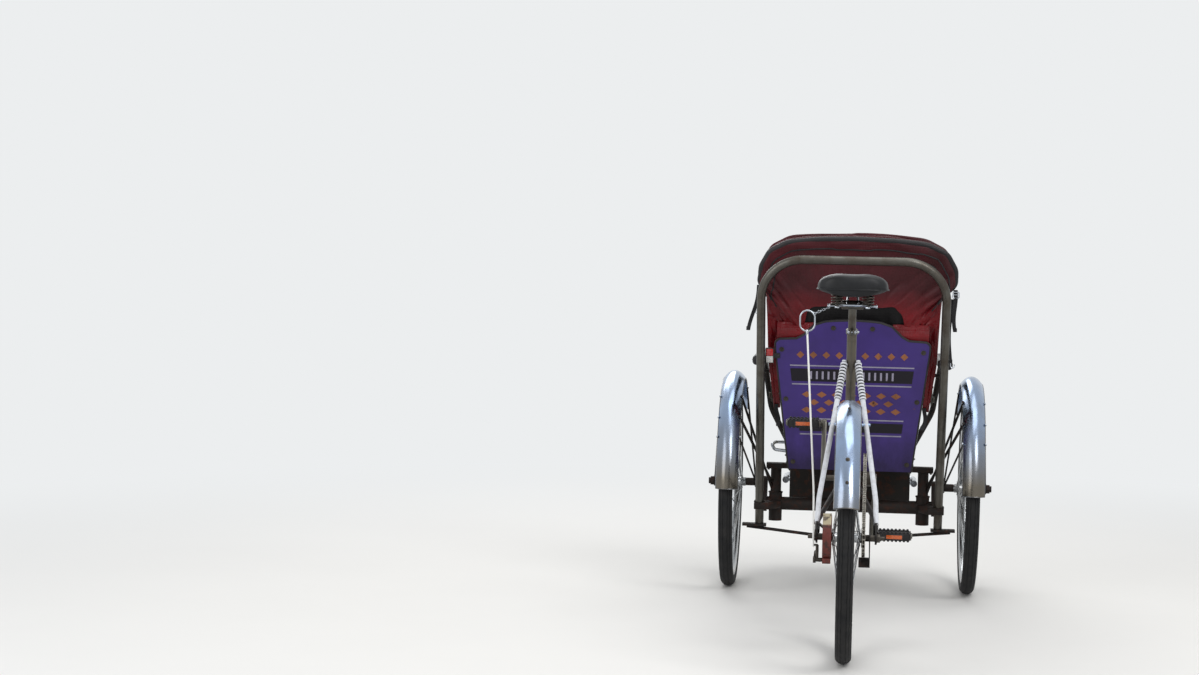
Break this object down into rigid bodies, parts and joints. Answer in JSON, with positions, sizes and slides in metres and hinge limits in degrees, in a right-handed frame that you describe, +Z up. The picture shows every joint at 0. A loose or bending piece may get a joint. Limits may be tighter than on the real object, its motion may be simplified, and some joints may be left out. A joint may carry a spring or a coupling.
{
  "type": "cycle rickshaw",
  "caption": "Three-wheeled pedal rickshaw: passenger seat with folded hood in front that steers as a whole, driven wheel and rider's saddle behind.",
  "frame": {"origin": "on the ground at the middle of the overall width and length", "axes": "+X to the rider's right, +Y forward, +Z up"},
  "size_m": [0.904, 2.1078, 1.1499],
  "materials": {
    "tyre_rubber": "matte",
    "wheel_chrome": "polished",
    "fender_chrome": "polished",
    "satin_steel": "satin",
    "frame_dark": "worn",
    "frame_white": "worn",
    "black_leather": "worn",
    "drive_steel": "oiled",
    "drum_red": "worn",
    "drum_cream": "worn",
    "pedal_rubber": "matte",
    "panel_purple": "gloss",
    "seat_side": "worn",
    "seat_base_dark": "worn",
    "seat_cloth": "matte",
    "hood_cloth": "matte",
    "pad_black": "matte",
    "reflector_red": "gloss",
    "white_wire": "gloss"
  },
  "bodies": {
    "rear_frame": {"main_tube": "frame_dark", "kingpin": "drive_steel", "seat_tube": "frame_dark", "chain_stays": "frame_dark", "seat_stays": "frame_white", "rear_axle": "drive_steel", "rear_fender": "fender_chrome", "seat_post": "satin_steel", "saddle_cover": "black_leather", "saddle_springs": "fender_chrome", "brake_band": "drum_cream", "brake_pull_rod": "white_wire", "chain": "drive_steel", "chain_guard": "frame_dark"},
    "rear_wheel": {"rear_tyre": "tyre_rubber", "rear_rim": "wheel_chrome", "rear_sprocket": "drive_steel", "brake_drum": "drum_red"},
    "crankset": {"crank_arms": "satin_steel", "chainring": "drive_steel"},
    "left_pedal": {"pedal_left": "pedal_rubber"},
    "right_pedal": {"pedal_right": "pedal_rubber"},
    "cart": {"axle_beam": "frame_dark", "stub_axle_left": "frame_dark", "stub_axle_right": "frame_dark", "push_bar": "satin_steel", "tie_rods": "frame_dark", "seat_base": "seat_base_dark", "side_panel_left": "seat_side", "side_panel_right": "seat_side", "back_panel": "panel_purple", "footwell": "seat_base_dark", "cushion": "seat_cloth", "backrest": "seat_cloth", "armrest_left": "satin_steel", "armrest_right": "satin_steel", "armrest_pad_left": "pad_black", "armrest_pad_right": "pad_black", "hood_cover": "hood_cloth", "hood_irons": "satin_steel", "front_fender_left": "fender_chrome", "front_fender_right": "fender_chrome", "bumper_bar": "satin_steel", "reflector": "reflector_red"},
    "left_front_wheel": {"left_tyre": "tyre_rubber", "left_rim": "wheel_chrome"},
    "right_front_wheel": {"right_tyre": "tyre_rubber", "right_rim": "wheel_chrome"}
  },
  "joints": [
    {"name": "steering", "type": "hinge", "parent": "rear_frame", "child": "cart", "pos_m": [0, 0.57398, 0.274], "axis": [0, 0, 1], "range_deg": [-38, 38]},
    {"name": "rear_wheel_roll", "type": "hinge", "parent": "rear_frame", "child": "rear_wheel", "pos_m": [0, -0.70603, 0.336], "axis": [1, 0, 0], "continuous": true},
    {"name": "crank_turn", "type": "hinge", "parent": "rear_frame", "child": "crankset", "pos_m": [0, -0.27603, 0.45], "axis": [1, 0, 0], "continuous": true},
    {"name": "left_pedal_turn", "type": "hinge", "parent": "crankset", "child": "left_pedal", "pos_m": [-0.132, -0.20629, 0.59954], "axis": [1, 0, 0], "continuous": true},
    {"name": "right_pedal_turn", "type": "hinge", "parent": "crankset", "child": "right_pedal", "pos_m": [0.132, -0.34576, 0.30046], "axis": [1, 0, 0], "continuous": true},
    {"name": "left_wheel_roll", "type": "hinge", "parent": "cart", "child": "left_front_wheel", "pos_m": [-0.38, 0.61398, 0.336], "axis": [1, 0, 0], "continuous": true},
    {"name": "right_wheel_roll", "type": "hinge", "parent": "cart", "child": "right_front_wheel", "pos_m": [0.38, 0.61398, 0.336], "axis": [1, 0, 0], "continuous": true}
  ]
}
